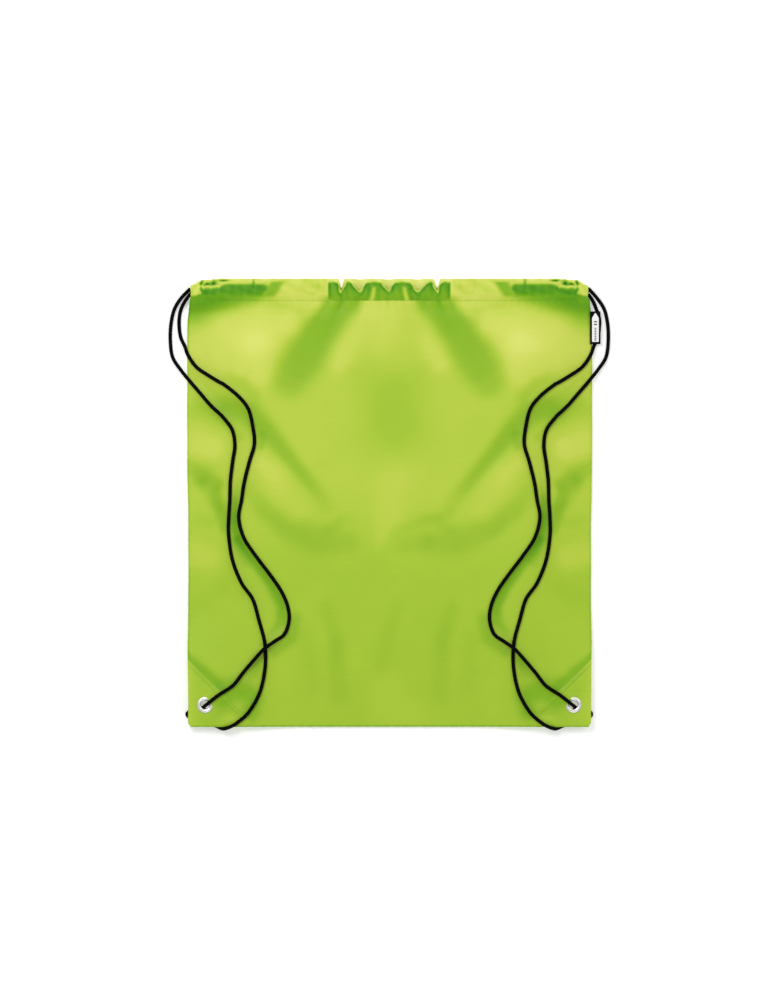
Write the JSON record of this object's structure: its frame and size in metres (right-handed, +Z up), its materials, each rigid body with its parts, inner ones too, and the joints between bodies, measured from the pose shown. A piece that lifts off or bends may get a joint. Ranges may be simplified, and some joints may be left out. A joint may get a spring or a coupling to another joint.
{
  "type": "drawstring bag",
  "caption": "Flat drawstring sack of thin satin cloth with cord shoulder straps that run from the gathered mouth casing to metal eyelets in patched bottom corners.",
  "frame": {"origin": "centre of the flat face the bag lies on, midway between the side seams and midway between the bottom fold and the top of the casings", "axes": "+Z up off the floor through the front panel, +Y towards the mouth, +X to the right seen from the front"},
  "size_m": [0.395, 0.404, 0.0199],
  "materials": {
    "panel_cloth": "thin satin polyester taffeta, lime green",
    "casing_cloth": "the same cloth folded double, lime green",
    "patch_cloth": "the same cloth hemmed, lime green",
    "thread": "polyester sewing thread, lime green",
    "nickel": "bright nickel-plated pressed brass",
    "cord": "black braided polyester cord",
    "label_ribbon": "black woven ribbon",
    "label_print": "off-white printed face"
  },
  "bodies": {
    "bag": {"front_panel": "panel_cloth", "back_panel": "panel_cloth", "bottom_fold": "panel_cloth", "front_casing": "casing_cloth", "back_casing": "casing_cloth", "left_side_seam": "casing_cloth", "right_side_seam": "casing_cloth", "front_left_patch": "patch_cloth", "front_right_patch": "patch_cloth", "back_left_patch": "patch_cloth", "back_right_patch": "patch_cloth", "front_casing_stitching": "thread", "back_casing_stitching": "thread", "left_patch_stitching": "thread", "right_patch_stitching": "thread", "left_eyelet": "nickel", "right_eyelet": "nickel", "left_eyelet_washer": "nickel", "right_eyelet_washer": "nickel", "left_knot": "cord", "right_knot": "cord", "left_drawcord_in_casing": "cord", "right_drawcord_in_casing": "cord", "left_outer_cord_top": "cord", "left_outer_cord_end": "cord", "left_inner_cord_top": "cord", "left_inner_cord_end": "cord", "right_outer_cord_top": "cord", "right_outer_cord_end": "cord", "right_inner_cord_top": "cord", "right_inner_cord_end": "cord"},
    "left_strap": {"left_outer_cord_strap": "cord", "left_inner_cord_strap": "cord"},
    "right_strap": {"right_outer_cord_strap": "cord", "right_inner_cord_strap": "cord"},
    "label": {"side_label": "label_ribbon", "side_label_print": "label_print"}
  },
  "joints": [
    {"name": "left_strap_lift", "type": "hinge", "parent": "bag", "child": "left_strap", "pos_m": [-0.15, 0, 0.0128], "axis": [0, -1, 0], "range_deg": [0, 100]},
    {"name": "right_strap_lift", "type": "hinge", "parent": "bag", "child": "right_strap", "pos_m": [0.15, 0, 0.0128], "axis": [0, 1, 0], "range_deg": [0, 100]},
    {"name": "label_flip", "type": "hinge", "parent": "bag", "child": "label", "pos_m": [0.1802, 0.1562, 0.00445], "axis": [0, -1, 0], "range_deg": [0, 130]}
  ]
}
